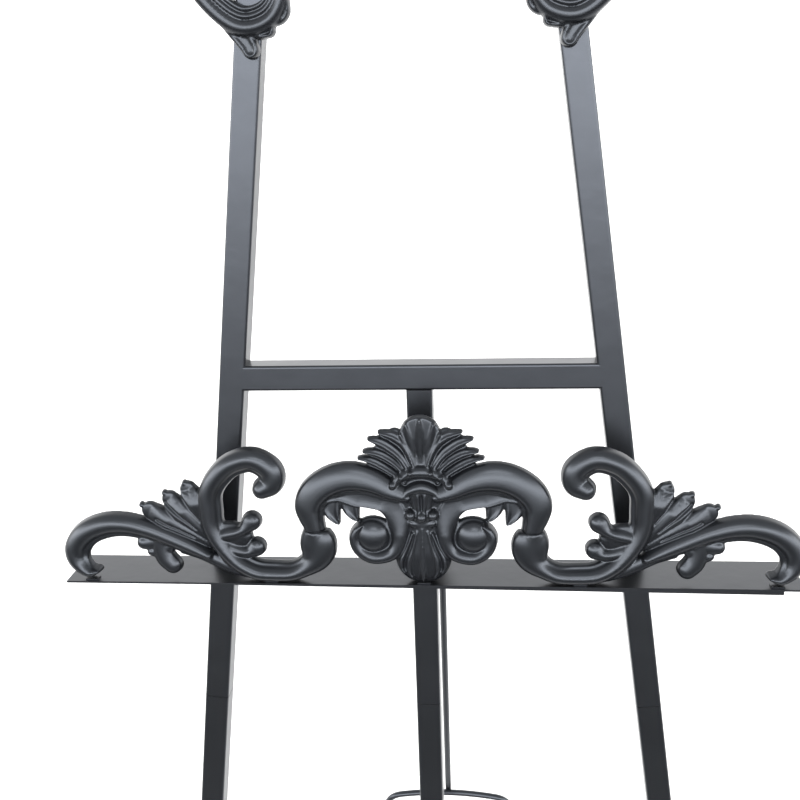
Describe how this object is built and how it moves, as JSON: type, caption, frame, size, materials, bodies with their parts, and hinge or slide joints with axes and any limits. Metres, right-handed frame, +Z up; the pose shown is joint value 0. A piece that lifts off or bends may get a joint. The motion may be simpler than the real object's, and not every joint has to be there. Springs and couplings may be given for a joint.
{
  "type": "display easel",
  "caption": "Floor-standing display easel with a leaning tube frame, cast scrollwork on its tray and crown, plug-in lower legs and a folding rear leg.",
  "frame": {"origin": "on the floor, at the middle of the easel's footprint box", "axes": "+Z up, +X to the right of someone facing the easel, +Y to the back; the front faces -Y"},
  "size_m": [0.5662, 0.2504, 1.4319],
  "materials": {
    "painted_tube": "satin black stove paint on steel tube and plate",
    "painted_casting": "satin black paint on cast scrollwork",
    "black_fastener": "black oxide, semi-matt",
    "bare_spigot": "mill finish",
    "plastic_plug": "matt black",
    "rubber_foot": "matt black"
  },
  "bodies": {
    "front_frame": {"left_upright": "painted_tube", "right_upright": "painted_tube", "centre_post": "painted_tube", "crossbar": "painted_tube", "top_bar": "painted_tube", "lower_crossbar": "painted_tube", "centre_lower_post": "painted_tube", "left_lower_leg": "painted_tube", "right_lower_leg": "painted_tube", "tray_plate": "painted_tube", "tray_rail": "painted_tube", "left_tray_bracket": "painted_tube", "centre_tray_bracket": "painted_tube", "right_tray_bracket": "painted_tube", "casting_tabs": "painted_tube", "hinge_bracket": "painted_tube", "tray_casting_centre": "painted_casting", "tray_casting_left": "painted_casting", "tray_casting_right": "painted_casting", "crown_casting_left": "painted_casting", "crown_casting_right": "painted_casting", "crown_palmette": "painted_casting", "joint_screws": "black_fastener", "tray_bolts": "black_fastener", "hinge_bolt": "black_fastener", "hinge_nut": "black_fastener", "left_spigot": "bare_spigot", "right_spigot": "bare_spigot", "centre_spigot": "bare_spigot", "left_top_plug": "plastic_plug", "right_top_plug": "plastic_plug", "left_foot_cap": "rubber_foot", "right_foot_cap": "rubber_foot"},
    "rear_leg": {"rear_strut": "painted_tube", "rear_arch": "painted_tube", "left_rear_foot": "rubber_foot", "right_rear_foot": "rubber_foot"}
  },
  "joints": [
    {"name": "rear_leg_fold", "type": "hinge", "parent": "front_frame", "child": "rear_leg", "pos_m": [0.0093, 0.01252, 0.75847], "axis": [1, 0, 0], "range_deg": [-16, 0]}
  ]
}
